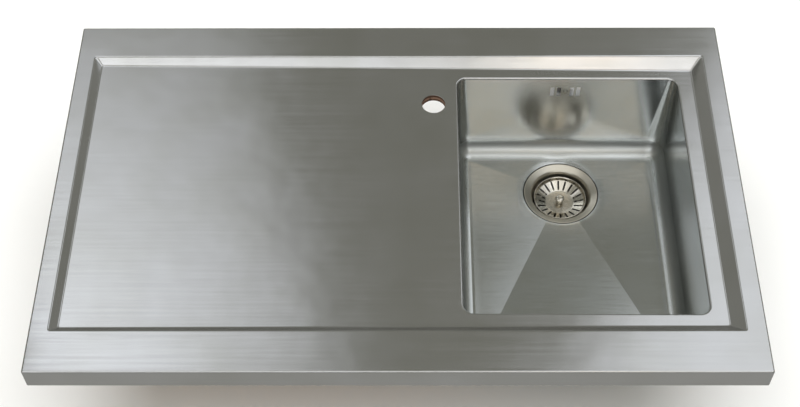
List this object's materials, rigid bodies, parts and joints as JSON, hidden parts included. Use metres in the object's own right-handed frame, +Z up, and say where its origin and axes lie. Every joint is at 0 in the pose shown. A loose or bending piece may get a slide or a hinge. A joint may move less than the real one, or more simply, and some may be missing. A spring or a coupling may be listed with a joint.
{
  "type": "kitchen sink with drainboard",
  "caption": "Sit-on stainless steel sink top with a folded edge, a sloping drainboard tray on the left, a deep bowl on the right, a tap hole, an overflow and a basket strainer waste.",
  "frame": {"origin": "plan centre of the sink top, on the level plane of its underside that rests on the cabinet", "axes": "+X to the right along the length, +Y to the back edge, +Z up"},
  "size_m": [1, 0.62, 0.2976],
  "materials": {
    "satin_steel": "satin stainless steel, brushed along the length",
    "bowl_steel": "satin stainless steel, finely brushed and slightly shinier than the top",
    "polished_steel": "polished stainless steel, warm where it mirrors the light",
    "screw_steel": "plain turned steel",
    "black_rubber": "matt black rubber",
    "damping_pad": "matt grey sound-deadening pad",
    "dark_plastic": "dark grey moulded plastic",
    "white_plastic": "white moulded plastic",
    "plywood": "brown plywood with its layers showing on the cut edges",
    "softwood": "planed softwood, unvarnished"
  },
  "bodies": {
    "root": {"worktop_skin": "satin_steel", "bowl_wall": "bowl_steel", "bowl_base": "bowl_steel", "bowl_damping_pad": "damping_pad", "core_board": "plywood", "batten_front": "softwood", "batten_back": "softwood", "batten_left": "softwood", "batten_right": "softwood", "bearer_left": "softwood", "bearer_centre": "softwood", "bearer_screw_1": "screw_steel", "bearer_screw_2": "screw_steel", "bearer_screw_3": "screw_steel", "bearer_screw_4": "screw_steel", "waste_cup": "polished_steel", "waste_upper_seal": "black_rubber", "waste_lower_seal": "black_rubber", "waste_body": "dark_plastic", "waste_tail": "dark_plastic", "waste_clamp_screw": "screw_steel", "overflow_gasket": "black_rubber", "overflow_housing": "white_plastic", "overflow_screw": "screw_steel", "overflow_pipe": "white_plastic", "overflow_nut_upper": "white_plastic", "overflow_seal_upper": "black_rubber", "overflow_nut_lower": "white_plastic", "overflow_seal_lower": "black_rubber"},
    "plug": {"basket_stem": "screw_steel", "basket_stopper": "black_rubber", "stem_ring": "black_rubber"},
    "strainer": {"strainer_basket": "polished_steel", "basket_knob": "polished_steel"}
  },
  "joints": [
    {"name": "basket_lift", "type": "slide", "parent": "root", "child": "plug", "axis": [0, 0, 1], "range_m": [0, 0.26]},
    {"name": "basket_turn", "type": "hinge", "parent": "plug", "child": "strainer", "pos_m": [0.261, 0.1265, -0.178], "axis": [0, 0, 1], "continuous": true}
  ]
}
